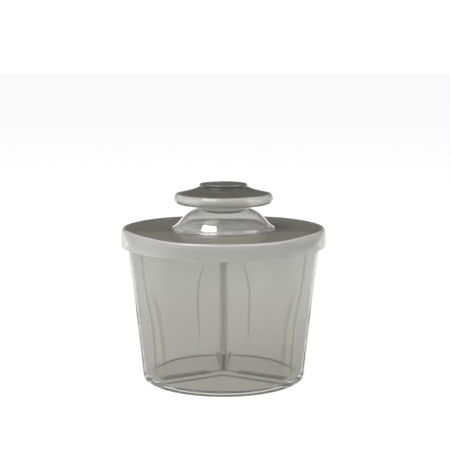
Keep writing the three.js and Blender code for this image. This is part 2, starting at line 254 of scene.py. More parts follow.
def across_flute(sums, angle, z, half_angle, deepest, top, pitch):
    """How far from a flute's middle a point is, 1 at its edge, and how far up its arch."""
    half_pitch = sums("MULTIPLY", pitch, 0.5)
    from_wall = sums("SUBTRACT", angle, math.pi / 2)
    turn = sums("ABSOLUTE", sums("WRAP", from_wall, half_pitch, sums("MULTIPLY", half_pitch, -1)))
    up = sums("DIVIDE", sums("SUBTRACT", z, deepest), sums("SUBTRACT", top, deepest), clamp=True)
    narrowing = sums("SUBTRACT", 1, sums("MULTIPLY", up, up))
    arch = sums("SQRT", sums("MAXIMUM", narrowing, FLUTE_LEAST_ARCH))
    return sums("DIVIDE", turn, sums("MULTIPLY", half_angle, arch)), up


def flute_tree():
    """Presses a turned wall in, in an arched scoop in front of each divider wall."""
    inputs = [("Geometry", GEOMETRY, None), ("Depth", FLOAT, 0), ("Half Angle", FLOAT, 0),
              ("Deepest", FLOAT, 0), ("Top", FLOAT, 0), ("Foot Share", FLOAT, 0),
              ("Pitch", FLOAT, 0), ("Full Radius", FLOAT, 0), ("Material", MATERIAL, None)]
    tree, source, result = new_tree("arched_flutes", "GeometryNodeTree", inputs,
                                    [("Geometry", GEOMETRY)])
    sums, x, y, z, angle, radius = polar(tree)
    get = source.outputs
    across, up = across_flute(sums, angle, z, get["Half Angle"], get["Deepest"], get["Top"],
                              get["Pitch"])
    across = sums("MINIMUM", across, 1)
    below = sums("DIVIDE", sums("SUBTRACT", get["Deepest"], z), get["Deepest"], clamp=True)
    lost = sums("MULTIPLY", sums("SUBTRACT", 1, get["Foot Share"]), sums("MULTIPLY", below, below))
    fade = sums("SUBTRACT", 1, sums.smooth(up, 0.0, 1.0))
    depth = sums("MULTIPLY", sums("MULTIPLY", get["Depth"], fade), sums("SUBTRACT", 1, lost))
    still = sums("MULTIPLY", get["Full Radius"], PRESSED_SHARE)
    near = sums.smooth(radius, still, get["Full Radius"])
    bowl = sums("SUBTRACT", 1, sums("MULTIPLY", across, across))
    offset = sums("MULTIPLY", sums("MULTIPLY", sums("MULTIPLY", depth, near), bowl), -1)
    press_out(tree, source, result, sums, x, y, z, radius, offset)
    return tree


def lobe_tree():
    """Swells a round lid into lobes, most at its top edge and least at the skirt's foot."""
    inputs = [("Geometry", GEOMETRY, None), ("Lobes", FLOAT, 3), ("Top Lobe", FLOAT, 0),
              ("Foot Lobe", FLOAT, 0), ("Top Flat", FLOAT, 0), ("Foot Flat", FLOAT, 0),
              ("Top", FLOAT, 0), ("Depth", FLOAT, 1), ("Start Radius", FLOAT, 0),
              ("Full Radius", FLOAT, 1), ("Material", MATERIAL, None)]
    tree, source, result = new_tree("lid_lobes", "GeometryNodeTree", inputs,
                                    [("Geometry", GEOMETRY)])
    sums, x, y, z, angle, radius = polar(tree)
    get = source.outputs
    down = sums("DIVIDE", sums("SUBTRACT", get["Top"], z), get["Depth"], clamp=True)
    ease = sums("SINE", sums("MULTIPLY", down, math.pi / 2))
    turn = sums("MULTIPLY", sums("SUBTRACT", angle, math.pi / 2), get["Lobes"])

    def eased(top, foot):
        change = sums("SUBTRACT", get[foot], get[top])
        return sums("ADD", get[top], sums("MULTIPLY", ease, change))

    lobe = sums("MULTIPLY", eased("Top Lobe", "Foot Lobe"), sums("COSINE", turn))
    twice = sums("COSINE", sums("MULTIPLY", turn, 2))
    flat = sums("MULTIPLY", eased("Top Flat", "Foot Flat"), twice)
    near = sums.smooth(radius, get["Start Radius"], get["Full Radius"])
    offset = sums("MULTIPLY", sums("MULTIPLY", near, sums("ADD", lobe, flat)), -1)
    press_out(tree, source, result, sums, x, y, z, radius, offset)
    return tree


def round_tree():
    """Repeats a piece round the upright axis."""
    inputs = [("Geometry", GEOMETRY, None), ("Count", "NodeSocketInt", 3),
              ("First Angle", FLOAT, 0), ("Material", MATERIAL, None)]
    tree, source, result = new_tree("round_the_axis", "GeometryNodeTree", inputs,
                                    [("Geometry", GEOMETRY)])
    sums = Sums(tree)
    get = source.outputs
    points = tree.nodes.new("GeometryNodePoints")
    tree.links.new(get["Count"], points.inputs["Count"])
    index = tree.nodes.new("GeometryNodeInputIndex").outputs[0]
    step = sums("DIVIDE", TAU, get["Count"])
    turn = tree.nodes.new("ShaderNodeCombineXYZ")
    angle = sums("ADD", sums("MULTIPLY", index, step), get["First Angle"])
    tree.links.new(angle, turn.inputs["Z"])
    spread = tree.nodes.new("GeometryNodeInstanceOnPoints")
    tree.links.new(points.outputs[0], spread.inputs["Points"])
    tree.links.new(get["Geometry"], spread.inputs["Instance"])
    tree.links.new(turn.outputs[0], spread.inputs["Rotation"])
    end_tree(tree, source, result, spread.outputs[0])
    return tree


# ---- Finishes and painted shade -----------------------------------------------------------


def flow_group():
    """Moulded plastic: cloudy flow marks, fine pits and small changes of tone and gloss."""
    inputs = [("Light Tone", COLOUR, (1, 1, 1, 1)), ("Deep Tone", COLOUR, (0, 0, 0, 1)),
              ("Cloud Scale", FLOAT, 40), ("Pit Scale", FLOAT, 900), ("Gloss", FLOAT, 0.1),
              ("Gloss Change", FLOAT, 0.05)]
    outputs = [("Tone", COLOUR), ("Roughness", FLOAT), ("Height", FLOAT)]
    tree, source, result = new_tree("moulded_flow", "ShaderNodeTree", inputs, outputs)
    sums = Sums(tree)
    links = tree.links
    get = source.outputs
    place = object_place(tree)
    stretch = tree.nodes.new("ShaderNodeMapping")
    stretch.inputs["Scale"].default_value = (1.0, 1.0, 0.35)
    links.new(place, stretch.inputs["Vector"])
    clouds = tree.nodes.new("ShaderNodeTexNoise")
    clouds.inputs["Detail"].default_value = 3
    clouds.inputs["Distortion"].default_value = 0.6
    links.new(stretch.outputs[0], clouds.inputs["Vector"])
    links.new(get["Cloud Scale"], clouds.inputs["Scale"])
    pits = tree.nodes.new("ShaderNodeTexNoise")
    pits.inputs["Detail"].default_value = 2
    links.new(place, pits.inputs["Vector"])
    links.new(get["Pit Scale"], pits.inputs["Scale"])
    cloudy = sums.smooth(clouds.outputs["Fac"], 0.3, 0.7)
    links.new(sums.mix(cloudy, get["Deep Tone"], get["Light Tone"]), result.inputs["Tone"])
    change = sums("MULTIPLY", sums("SUBTRACT", pits.outputs["Fac"], 0.5), get["Gloss Change"])
    links.new(sums("ADD", get["Gloss"], change), result.inputs["Roughness"])
    height = sums("ADD", sums("MULTIPLY", clouds.outputs["Fac"], 0.7),
                  sums("MULTIPLY", pits.outputs["Fac"], 0.3))
    links.new(height, result.inputs["Height"])
    return tree


def edge_group():
    """Lightens the rubbed edges of a moulding, in patches."""
    inputs = [("Tone", COLOUR, (1, 1, 1, 1)), ("Edge Tone", COLOUR, (1, 1, 1, 1)),
              ("Amount", FLOAT, 0.3)]
    tree, source, result = new_tree("rubbed_edges", "ShaderNodeTree", inputs, [("Tone", COLOUR)])
    sums = Sums(tree)
    get = source.outputs
    point = tree.nodes.new("ShaderNodeNewGeometry").outputs["Pointiness"]
    patches = tree.nodes.new("ShaderNodeTexNoise")
    patches.inputs["Scale"].default_value = 260
    tree.links.new(object_place(tree), patches.inputs["Vector"])
    worn = sums("MULTIPLY", sums.smooth(point, 0.52, 0.6),
                sums.smooth(patches.outputs["Fac"], 0.35, 0.6))
    amount = sums("MULTIPLY", worn, get["Amount"])
    tree.links.new(sums.mix(amount, get["Tone"], get["Edge Tone"]), result.inputs["Tone"])
    return tree


def painted_crease_shade_group():
    """Painted shade: a fine darker line where a flute meets the round wall, fading out at its arch.
    """
    inputs = [("Tone", COLOUR, (1, 1, 1, 1)), ("Line Tone", COLOUR, (0, 0, 0, 1)),
              ("Width", FLOAT, 0.05)]
    tree, source, result = new_tree("flute_creases", "ShaderNodeTree", inputs, [("Tone", COLOUR)])
    sums = Sums(tree)
    split = tree.nodes.new("ShaderNodeSeparateXYZ")
    tree.links.new(object_place(tree), split.inputs[0])
    x, y, z = split.outputs
    get = source.outputs
    across, up = across_flute(sums, sums("ARCTAN2", y, x), z, FLUTE_HALF_ANGLE,
                              FLUTE_DEEPEST * MM, FLUTE_TOP * MM, FLUTE_PITCH)
    near = sums("DIVIDE", sums("ABSOLUTE", sums("SUBTRACT", across, 1)), get["Width"])
    line = sums("SUBTRACT", 1, sums.smooth(near, 0.3, 1.0))
    line = sums("MULTIPLY", line, sums("SUBTRACT", 1, sums.smooth(up, 0.55, 0.95)))
    line = sums("MULTIPLY", line, sums.smooth(z, 0.002, 0.02))
    tree.links.new(sums.mix(line, get["Tone"], get["Line Tone"]), result.inputs["Tone"])
    return tree


FLOW = flow_group()
EDGES = edge_group()
PAINTED_CREASE_SHADE = painted_crease_shade_group()


def tinted(level, tint):
    """A grey of this linear level, with its green and blue scaled by the tint."""
    return (level, level * tint[0], level * tint[1], 1)


CLOUD_SHADE = 0.95
GLOSS_SPREAD = 0.5
COAT_ROUGHNESS = 0.03
RELIEF = 0.3 * MM
PAINTED_SHADE_FADE = 1.5
PAINTED_CREASE_WIDTH = 0.055
RUBBED_LIFT = 1.3
LIGHTEST = 0.98


def group_node(tree, group, **values):
    """A shader group placed in a material, with its inputs set by name."""
    node = tree.nodes.new("ShaderNodeGroup")
    node.node_tree = group
    for label, value in values.items():
        node.inputs[label.replace("_", " ")].default_value = value
    return node


def plastic(name, light, tint, gloss, through, ior, coat=0.0, cloud=40, bump=0.02, edge=0.25,
            painted_shade=None, painted_shade_tint=None, painted_shade_zone=None, painted_shade_from=None, painted_crease_shade=None):
    """A moulded plastic with painted shade. The tone moves from light to a darker painted shade
    between the two heights of the shade zone, and the shade's start radius keeps the painted shade
    outside a radius, both in millimetres."""
    material = bpy.data.materials.new(name)
    material.use_nodes = True
    tree = material.node_tree
    sums = Sums(tree)
    links = tree.links
    shader = tree.nodes["Principled BSDF"]
    shader.inputs["Transmission Weight"].default_value = through
    shader.inputs["IOR"].default_value = ior
    shader.inputs["Coat Weight"].default_value = coat
    shader.inputs["Coat Roughness"].default_value = COAT_ROUGHNESS
    flow = group_node(tree, FLOW, Light_Tone=tinted(light, tint),
                      Deep_Tone=tinted(light * CLOUD_SHADE, tint), Cloud_Scale=cloud,
                      Gloss=gloss, Gloss_Change=gloss * GLOSS_SPREAD)
    tone = flow.outputs["Tone"]
    # Painted shade: a darker tone painted between two heights, and outside a radius when one is
    # given.
    if painted_shade_zone:
        split = tree.nodes.new("ShaderNodeSeparateXYZ")
        links.new(object_place(tree), split.inputs[0])
        x, y, z = split.outputs
        start, end = painted_shade_zone
        share = sums.smooth(z, start * MM, end * MM)
        if painted_shade_from:
            outside = sums.smooth(sums.radius(x, y), painted_shade_from * MM, (painted_shade_from + PAINTED_SHADE_FADE) * MM)
            share = sums("MULTIPLY", share, outside)
        tone = sums.mix(share, tone, tinted(painted_shade, painted_shade_tint))
    # Painted shade: a darker line along the edges of the flutes.
    if painted_crease_shade:
        lines = group_node(tree, PAINTED_CREASE_SHADE, Line_Tone=tinted(painted_crease_shade, tint), Width=PAINTED_CREASE_WIDTH)
        links.new(tone, lines.inputs["Tone"])
        tone = lines.outputs["Tone"]
    worn = group_node(tree, EDGES, Edge_Tone=tinted(min(light * RUBBED_LIFT, LIGHTEST), tint),
                      Amount=edge)
    links.new(tone, worn.inputs["Tone"])
    links.new(worn.outputs["Tone"], shader.inputs["Base Color"])
    links.new(flow.outputs["Roughness"], shader.inputs["Roughness"])
    relief = tree.nodes.new("ShaderNodeBump")
    relief.inputs["Strength"].default_value = bump
    relief.inputs["Distance"].default_value = RELIEF
    links.new(flow.outputs["Height"], relief.inputs["Height"])
    links.new(relief.outputs[0], shader.inputs["Normal"])
    return material


# Painted shade: the tub darkens from 66 mm down to 4 mm, and darker lines are painted along the
# flutes' edges.
smoky_body = plastic("smoky_body", 0.69, (1, 0.975), gloss=0.02, through=0.9, ior=1.04, coat=0.06,
                     painted_shade=0.61, painted_shade_tint=(1, 0.95), painted_shade_zone=(66, 4), painted_crease_shade=0.4)
# Painted shade: the divider walls darken a little from 66 mm down to 6 mm.
smoky_divider = plastic("smoky_divider", 0.985, (1, 0.975), gloss=0.02, through=1.0, ior=1.12,
                        coat=0.05, painted_shade=0.95, painted_shade_tint=(1, 0.96), painted_shade_zone=(66, 6))
# Painted shade: a darker copy of the divider's plastic for the walls' ends and the hub, which look
# dark seen edge-on; it darkens towards the foot too.
divider_edge = plastic("divider_edge", 0.68, (1, 0.95), gloss=0.05, through=0.8, ior=1.15,
                       painted_shade=0.6, painted_shade_tint=(1, 0.93), painted_shade_zone=(66, 6))
# Painted reflection and shade: the lid's flat top, outside the spout's foot, is painted dark
# brown-grey in place of the dark surroundings it reflects at a grazing angle.
smoky_lid = plastic("smoky_lid", 0.64, (1, 0.97), gloss=0.03, through=0.62, ior=1.12, coat=0.45,
                    painted_shade=0.19, painted_shade_tint=(0.95, 0.76),
                    painted_shade_zone=(LID_TOP - 0.08, LID_TOP - 0.01), painted_shade_from=26.0)
# Painted reflection and shade: the cap's flare and boss above the rim are painted almost black in
# place of the dark surroundings they reflect.
smoky_cap = plastic("smoky_cap", 0.62, (1, 0.96), gloss=0.05, through=0.58, ior=1.15, coat=0.5,
                    painted_shade=0.12, painted_shade_tint=(0.99, 0.86),
                    painted_shade_zone=(CAP_RIM_FOOT + 5.0, CAP_RIM_FOOT + 5.7))
clear_spout = plastic("clear_spout", 0.9, (1, 0.985), gloss=0.015, through=0.88, ior=1.14,
                      coat=1.0, bump=0.01, edge=0.1)
frosted_plate = plastic("frosted_plate", 0.92, (1, 0.975), gloss=0.12, through=0.25, ior=1.12,
                        coat=0.2)
# Painted light: a lighter copy of the cap's plastic for the plug, so that it reads light in the
# shade under the cap.
clear_plug = plastic("clear_plug", 0.95, (1, 0.97), gloss=0.08, through=0.55, ior=1.15, coat=0.3)
soft_seal = plastic("soft_seal", 0.62, (1, 0.96), gloss=0.5, through=0.3, ior=1.4, cloud=90,
                    bump=0.15)

# ---- Making meshes ---------------------------------------------------------------------------


def settle(piece, body, slot, *nodes, sharp=32):
    """Puts a mesh of millimetres in metres, shades it, gives it its body and hides the imported
    parts of its nodes; slot is not used.
    """
    mesh = piece.data
    mesh.transform(Matrix.Scale(MM, 4))
    mesh.shade_smooth()
    mesh.set_sharp_from_angle(angle=math.radians(sharp))
    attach(piece, body)
    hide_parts(*nodes)


def rounded(corners, steps=4):
    """A profile of (radius, height, fillet) corners, with each fillet drawn as a curve."""
    points = []
    count = len(corners)
    for i, (r, z, fillet) in enumerate(corners):
        here = Vector((r, z))
        if not fillet:
            points.append(here)
            continue
        before = Vector(corners[i - 1][:2]) - here
        after = Vector(corners[(i + 1) % count][:2]) - here
        reach = min(fillet, before.length * 0.49, after.length * 0.49)
        start = here + before.normalized() * reach
        end = here + after.normalized() * reach
        for step in range(steps + 1):
            t = step / steps
            points.append(start.lerp(here, t).lerp(here.lerp(end, t), t))
    return points


def on_ring(radius, angle):
    return radius * math.cos(angle), radius * math.sin(angle)


def turned(profile, steps=TURN_STEPS):
    """A closed profile of (radius, height) turned about the axis."""
    built = bmesh.new()
    rings = []
    for r, z in profile:
        if r < 1e-6:
            rings.append([built.verts.new((0, 0, z))])
        else:
            rings.append([built.verts.new((*on_ring(r, TAU * k / steps), z)) for k in range(steps)])
    for one, two in zip(rings, rings[1:] + rings[:1]):
        if len(one) == 1 and len(two) == 1:
            continue
        for k in range(steps):
            n = (k + 1) % steps
            corners = (one[k % len(one)], two[k % len(two)], two[n % len(two)], one[n % len(one)])
            built.faces.new(dict.fromkeys(corners))
    return built


def prism(outline, z0, z1):
    """An outline of (x, y) given a height."""
    built = bmesh.new()
    foot = [built.verts.new((x, y, z0)) for x, y in outline]
    top = [built.verts.new((x, y, z1)) for x, y in outline]
    count = len(outline)
    built.faces.new(foot[::-1])
    built.faces.new(top)
    for k in range(count):
        n = (k + 1) % count
        built.faces.new([foot[k], foot[n], top[n], top[k]])
    return built


def bare(name, built):
    """An object of a bmesh in millimetres, welded, with its faces outwards."""
    bmesh.ops.remove_doubles(built, verts=built.verts, dist=1e-4)
    bmesh.ops.recalc_face_normals(built, faces=built.faces)
    mesh = bpy.data.meshes.new(name)
    built.to_mesh(mesh)
    built.free()
    piece = bpy.data.objects.new(name, mesh)
    bpy.context.scene.collection.objects.link(piece)
    return piece


def made_plain(piece):
    """Takes the evaluated mesh of a piece and drops its modifiers."""
    shaped = piece.evaluated_get(bpy.context.evaluated_depsgraph_get())
    mesh = bpy.data.meshes.new_from_object(shaped)
    mesh.name = piece.name
    piece.modifiers.clear()
    piece.data = mesh
    return piece


def grown(piece, tree, material, **values):
    """Runs a piece through a node tree, with the tree's inputs set by identifier."""
    run = piece.modifiers.new(tree.name, "NODES")
    run.node_group = tree
    values["Material"] = material
    for item in tree.interface.items_tree:
        label = item.name.replace(" ", "_")
        if item.in_out == "INPUT" and label in values:
            run[item.identifier] = values[label]
    return made_plain(piece)


def cut(piece, *cutters):
    """Takes the cutters' shapes out of a piece and drops the cutters."""
    for cutter in cutters:
        bite = piece.modifiers.new("cut", "BOOLEAN")
        bite.object = cutter
        bite.operation = "DIFFERENCE"
        bite.solver = "EXACT"
    made_plain(piece)
    for cutter in cutters:
        bpy.data.objects.remove(cutter)


# ---- Tub ------------------------------------------------------------------------------------


def tub_radius(z):
    """The drafted outside of the tub at a height."""
    return BASE_RADIUS + DRAFT * min(z, SHOULDER)


def levels(start, end, count):
    """Evenly spaced values from start to end."""
    return [start + (end - start) * k / count for k in range(count + 1)]


def make_tub():
    """A drafted cup with a stepped rim, pressed-in flutes and pockets under its floor."""
    wall = levels(2.0, FLUTE_TOP + 2, 44)
    outside = [(0, 0, 0), (12, 0, 0), (24, 0, 0), (38, 0, 0), (BASE_RADIUS - 0.05, 0, 0.9)]
    outside += [(tub_radius(z), z, 0) for z in wall]
    outside += [(tub_radius(SHOULDER - 0.9), SHOULDER - 0.9, 0),
                (SHOULDER_RADIUS, SHOULDER, 0.35), (RIM_RADIUS, SHOULDER + 0.02, 0.15),
                (RIM_RADIUS, TUB_TOP, 0.3)]
    inside = [(MOUTH_RADIUS, TUB_TOP, 0.3), (MOUTH_RADIUS, SHOULDER, 0)]
    inside += [(tub_radius(z) - TUB_WALL, z, 0) for z in reversed(wall) if z > FLOOR + CORNER]
    inside += [(tub_radius(FLOOR) - TUB_WALL + 0.05, FLOOR, CORNER)]
    inside += [(r, FLOOR, 0) for r in (36, 33, 30, 26, 22, 10, 0)]
    tub = bare("tub_shell", turned(rounded(outside + inside)))
    tub = grown(tub, flute_tree(), smoky_body, Depth=FLUTE_DEPTH, Half_Angle=FLUTE_HALF_ANGLE,
                Deepest=FLUTE_DEEPEST, Top=FLUTE_TOP, Foot_Share=FLUTE_FOOT_SHARE,
                Pitch=FLUTE_PITCH, Full_Radius=BASE_RADIUS - 3 * TUB_WALL)
    pockets = []
    reach = BASE_RADIUS - FOOT_RING
    gap = math.asin(FOOT_WEB_HALF / reach)
    for angle in WALL_ANGLES:
        outline = [on_ring(FOOT_WEB_HALF / math.sin(TAU / 6), angle + TAU / 6)]
        outline += [on_ring(reach, a) for a in levels(angle + gap, angle + TAU / 3 - gap, 48)]
        pockets.append(bare("pocket", prism(outline, -2, FOOT_POCKET)))
    cut(tub, *pockets)
    settle(tub, "tub_body", "smoky_body", "tub", sharp=40)


def make_guide_ribs():
    """Pairs of low ribs on the floor that hold the foot of each divider wall."""
    built = bmesh.new()
    end = tub_radius(FLOOR) - TUB_WALL - CORNER - FLUTE_DEPTH - 0.6
    for side in (-1, 1):
        middle = side * (WALL_HALF + RIB_WIDTH / 2 + RIB_PLAY)
        for vert in bmesh.ops.create_cube(built, size=1)["verts"]:
            along, up = vert.co.x + 0.5, vert.co.z + 0.5
            vert.co = (RIB_START + along * (end - RIB_START), middle + vert.co.y * RIB_WIDTH,
                       FLOOR + 0.02 + up * RIB_HEIGHT)
    upper = [e for e in built.edges if all(v.co.z > FLOOR + 0.5 for v in e.verts)]
    bmesh.ops.bevel(built, geom=upper, offset=0.3, segments=3, affect="EDGES")
    ribs = bare("guide_ribs", built)
    ribs = grown(ribs, round_tree(), smoky_body, Count=3, First_Angle=math.pi / 2)
    settle(ribs, "tub_body", "smoky_body", "tub")


def make_divider():
    """Three walls on one hub, lofted upwards so that their ends follow the fluted wall."""

    def reach(z):
        below = max((FLUTE_DEEPEST - z) / FLUTE_DEEPEST, 0)
        up = min(max((z - FLUTE_DEEPEST) / (FLUTE_TOP - FLUTE_DEEPEST), 0), 1)
        arched = 1 - up * up * (3 - 2 * up)
        depth = FLUTE_DEPTH * arched * (1 - (1 - FLUTE_FOOT_SHARE) * below * below)
        return tub_radius(z) - TUB_WALL - depth - WALL_PLAY

    foot, top = low("divider"), high("divider")
    notch = SPIGOT_FOOT - WALL_PLAY
    neck = SPIGOT_RADIUS - SPIGOT_WALL - WALL_PLAY
    rows = [(foot, reach(foot) - 4.4), (foot + 0.3, reach(foot) - 3.4),
            (foot + 1, reach(foot) - 1.4), (foot + 2.0, reach(foot + 2.0) - 0.1)]
    rows += [(z, reach(z)) for z in levels(foot + 3, notch, 30)]
    rows += [(notch, neck), (top - 0.25, neck), (top, neck - 0.25)]
    built = bmesh.new()
    rings = []
    for row, (z, length) in enumerate(rows):
        thin = 0.2 if row in (0, len(rows) - 1) else 0.0
        half = WALL_HALF - thin
        ring = []
        for angle in WALL_ANGLES:
            along = Vector((math.cos(angle), math.sin(angle)))
            side = Vector((-along.y, along.x))
            start = math.sqrt(HUB_RADIUS ** 2 - WALL_HALF ** 2) + 0.5
            end = [(length - 0.5, half), (length - 0.12, half * 0.75), (length, half * 0.3)]
            section = [(start, -half), *[(a, -b) for a, b in end], *end[::-1], (start, half)]
            ring += [built.verts.new((*(along * a + side * b), z)) for a, b in section]
            hub = ((HUB_FILLET_TURN, HUB_RADIUS + HUB_FILLET), (TAU / 6, HUB_RADIUS),
                   (TAU / 3 - HUB_FILLET_TURN, HUB_RADIUS + HUB_FILLET))
            ring += [built.verts.new((*on_ring(out, angle + turn), z)) for turn, out in hub]
        rings.append(ring)
    count = len(rings[0])
    for one, two in zip(rings, rings[1:]):
        for k in range(count):
            n = (k + 1) % count
            built.faces.new([one[k], one[n], two[n], two[k]])
    built.faces.new(rings[0][::-1])
    built.faces.new(rings[-1])
    bmesh.ops.triangulate(built, faces=[f for f in built.faces if len(f.verts) > 4])
    divider = bare("divider_walls", built)
    divider.data.materials.append(smoky_divider)
    divider.data.materials.append(divider_edge)
    # Painted shade: the walls' ends and the hub's faces take the darker copy.
    for face in divider.data.polygons:
        out = math.hypot(face.center.x, face.center.y)
        if abs(face.normal.z) < 0.5 and (out < 2.4 or out > reach(face.center.z) - 0.6):
            face.material_index = 1
    settle(divider, "tub_body", "smoky_divider", "divider")


# ---- Lid ------------------------------------------------------------------------------------


def make_lid():
    """A lobed plate and skirt with a spigot, a locating ring, a pour window and a vent."""

    def skirt_radius(z):
        down = min(max((LID_TOP - z) / SKIRT_DEPTH, 0), 1)
        swell = SKIRT_FOOT_RADIUS - LID_TOP_RADIUS
        return LID_TOP_RADIUS + swell * math.sin(down * math.pi / 2)

    skirt = levels(LID_TOP - LID_EDGE, SKIRT_FOOT + 0.5, 12)
    inner = SPIGOT_RADIUS - SPIGOT_WALL
    ring = LOCATING_RADIUS
    profile = [(0, LID_TOP, 0), (8, LID_TOP, 0), (16, LID_TOP, 0), (ring - 1, LID_TOP, 0),
               (ring - 1, LID_TOP + 1, 0.2), (ring, LID_TOP + 1, 0.2), (ring, LID_TOP, 0)]
    profile += [(r, LID_TOP, 0) for r in (27.2, 32, 37, 42, 46, 49, 51)]
    for angle in levels(math.pi / 2, 0.12, 8):
        out, up = on_ring(LID_EDGE, angle)
        profile.append((LID_TOP_RADIUS - LID_EDGE + out, LID_TOP - LID_EDGE + up, 0))
    profile += [(skirt_radius(z), z, 0) for z in skirt[1:]]
    profile += [(SKIRT_FOOT_RADIUS - 0.05, SKIRT_FOOT, 1.0),
                (SKIRT_FOOT_RADIUS - SKIRT_WALL, SKIRT_FOOT, 0.25)]
    profile += [(skirt_radius(z) - SKIRT_WALL, z, 0)
                for z in reversed(skirt[1:-1]) if z < PLATE - 0.4]
    profile += [(skirt_radius(PLATE) - SKIRT_WALL, PLATE, 0.6), (RIM_RADIUS, PLATE, 0.2),
                (RIM_RADIUS, LAND, 0.15), (SPIGOT_RADIUS, LAND, 0),
                (SPIGOT_RADIUS, SPIGOT_FOOT, 0.4), (inner, SPIGOT_FOOT, 0.3),
                (inner, PLATE, 0.5), (30, PLATE, 0), (16, PLATE, 0), (0, PLATE, 0)]
    lid = bare("lid_shell", turned(rounded(profile)))
    lid = grown(lid, lobe_tree(), smoky_lid, Lobes=3.0, Top_Lobe=2.5, Foot_Lobe=0.7,
                Top_Flat=0.6, Foot_Flat=0.1, Top=LID_TOP, Depth=SKIRT_DEPTH,
                Start_Radius=FLANGE_RADIUS, Full_Radius=SKIRT_FOOT_RADIUS - 3 * SKIRT_WALL)
    first, last = POUR_ANGLE - WINDOW_HALF_ANGLE, POUR_ANGLE + WINDOW_HALF_ANGLE
    arc = [on_ring(WINDOW_RADIUS, a) for a in levels(first, last, 40)]
    arc += [on_ring(WINDOW_START, a) for a in levels(last, first, 12)]
    window = bare("window", prism(arc, PLATE - 1, LID_TOP + 0.8))
    drill = [Vector(p) for p in ((0, 0), (VENT_RADIUS, 0), (VENT_RADIUS, 6), (0, 6))]
    built = turned(drill, 20)
    across, along = math.sin(VENT_ANGLE), math.cos(VENT_ANGLE)
    for vert in built.verts:
        x, y, z = vert.co
        out = 51.5 + z
        vert.co = (out * along - x * across, out * across + x * along,
                   SKIRT_FOOT + VENT_HEIGHT + y)
    cut(lid, window, bare("vent", built))
    lid.data.materials.append(frosted_plate)
    for side in lid.data.polygons:
        out = math.hypot(side.center.x, side.center.y)
        if out < LOCATING_RADIUS - 1 and side.center.z > LID_TOP - 0.1:
            side.material_index = 1
    settle(lid, "lid_body", "smoky_lid", "lid")


def make_spout():
    """A clear bell with a flange at its foot and a straight neck."""
    foot = SPOUT_FOOT + 0.8
    curve = [Vector(p) for p in ((BELL_RADIUS, foot), (BELL_RADIUS - 5.8, foot + 6.0),
                                 (NECK_RADIUS + 6.0, NECK_FOOT - 2.2), (NECK_RADIUS, NECK_FOOT))]

    def bell(t):
        a, b, c, d = curve
        return a * (1 - t) ** 3 + b * 3 * t * (1 - t) ** 2 + c * 3 * t * t * (1 - t) + d * t ** 3

    outer, inner = [], []
    for t in levels(0, 1, 28):
        here = bell(t)
        ahead = (bell(min(t + 0.01, 1)) - bell(max(t - 0.01, 0))).normalized()
        outer.append((here.x, here.y, 0))
        inner.append((here.x - ahead.y * SPOUT_WALL, here.y + ahead.x * SPOUT_WALL, 0))
    bore, widest = NECK_RADIUS - SPOUT_WALL, BELL_RADIUS - SPOUT_WALL
    inner = [(min(r, widest), z, f) for r, z, f in inner[2:-1] if r > bore + 0.1]
    profile = [(FLANGE_RADIUS, SPOUT_FOOT, 0.1), (FLANGE_RADIUS, foot - 0.2, 0.25),
               (BELL_RADIUS + 0.35, foot, 0.2)]
    profile += outer[2:-1] + [(NECK_RADIUS, NECK_FOOT + 0.1, 0), (NECK_RADIUS, MOUTH, 0.35)]
    profile += [(bore, MOUTH, 0.35), (bore, NECK_FOOT - 0.6, 0.4)]
    profile += inner[::-1] + [(widest, SPOUT_FOOT, 0)]
    spout = bare("bell_spout", turned(rounded(profile)))
    spout.data.materials.append(clear_spout)
    settle(spout, "lid_body", "clear_spout", "pour_spout", sharp=50)


def make_cap():
    """A mushroom cap: a rounded finger rim, a flare up to a dished boss, and a hollow plug."""
    rim_top = CAP_RIM_FOOT + 2 * CAP_RIM_HALF
    flare_top = rim_top + 3.2
    middle, centre = CAP_RADIUS - CAP_RIM_HALF, CAP_RIM_FOOT + CAP_RIM_HALF
    dish, dish_floor = BOSS_RADIUS - 1.0, CAP_TOP - DISH_DEPTH
    meets = math.radians(68)

    def rim(angle):
        out, up = on_ring(CAP_RIM_HALF, angle)
        return middle + out, centre + up

    start = Vector((BOSS_RADIUS, flare_top))
    bend = Vector((BOSS_RADIUS + 2.4, flare_top - 1.7))
    end = Vector(rim(meets))
    flare = [start.lerp(bend, t).lerp(bend.lerp(end, t), t) for t in levels(0, 1, 12)]
    profile = [(0, dish_floor, 0), (6, dish_floor, 0), (dish - 0.4, dish_floor, 0.4),
               (dish, CAP_TOP, 0.15), (BOSS_RADIUS, CAP_TOP, 0.4)]
    profile += [(p.x, p.y, 0) for p in flare[:-1]]
    profile += [(*rim(a), 0) for a in levels(meets, -math.pi / 2, 16)]
    shell, hollow = rim_top - CAP_WALL, dish_floor - CAP_WALL
    bore = PLUG_RADIUS - PLUG_WALL
    profile += [(middle - CAP_WALL, CAP_RIM_FOOT, 0.3),
                (middle - CAP_WALL / 2, shell - CAP_WALL / 2, 0.6),
                (middle - CAP_WALL, shell, 0.5), (NECK_RADIUS + 1.15, CAP_LAND, 0.4),
                (PLUG_RADIUS, CAP_LAND, 0.2), (PLUG_RADIUS, PLUG_FOOT + 0.7, 0.4),
                (PLUG_RADIUS - PLUG_WALL / 2, PLUG_FOOT, 0.3), (bore, PLUG_FOOT, 0.3),
                (bore, flare_top - CAP_WALL, 0.6), (bore - PLUG_WALL, hollow, 0.5),
                (0, hollow, 0)]
    cap = bare("finger_cap", turned(rounded(profile)))
    cap.data.materials.append(smoky_cap)
    cap.data.materials.append(clear_plug)
    # Painted light: the plug's faces take the lighter copy.
    for side in cap.data.polygons:
        out = math.hypot(side.center.x, side.center.y)
        if out < PLUG_RADIUS + 0.1 and side.center.z < CAP_LAND:
            side.material_index = 1
    settle(cap, "cap_body", "smoky_cap", "cap")


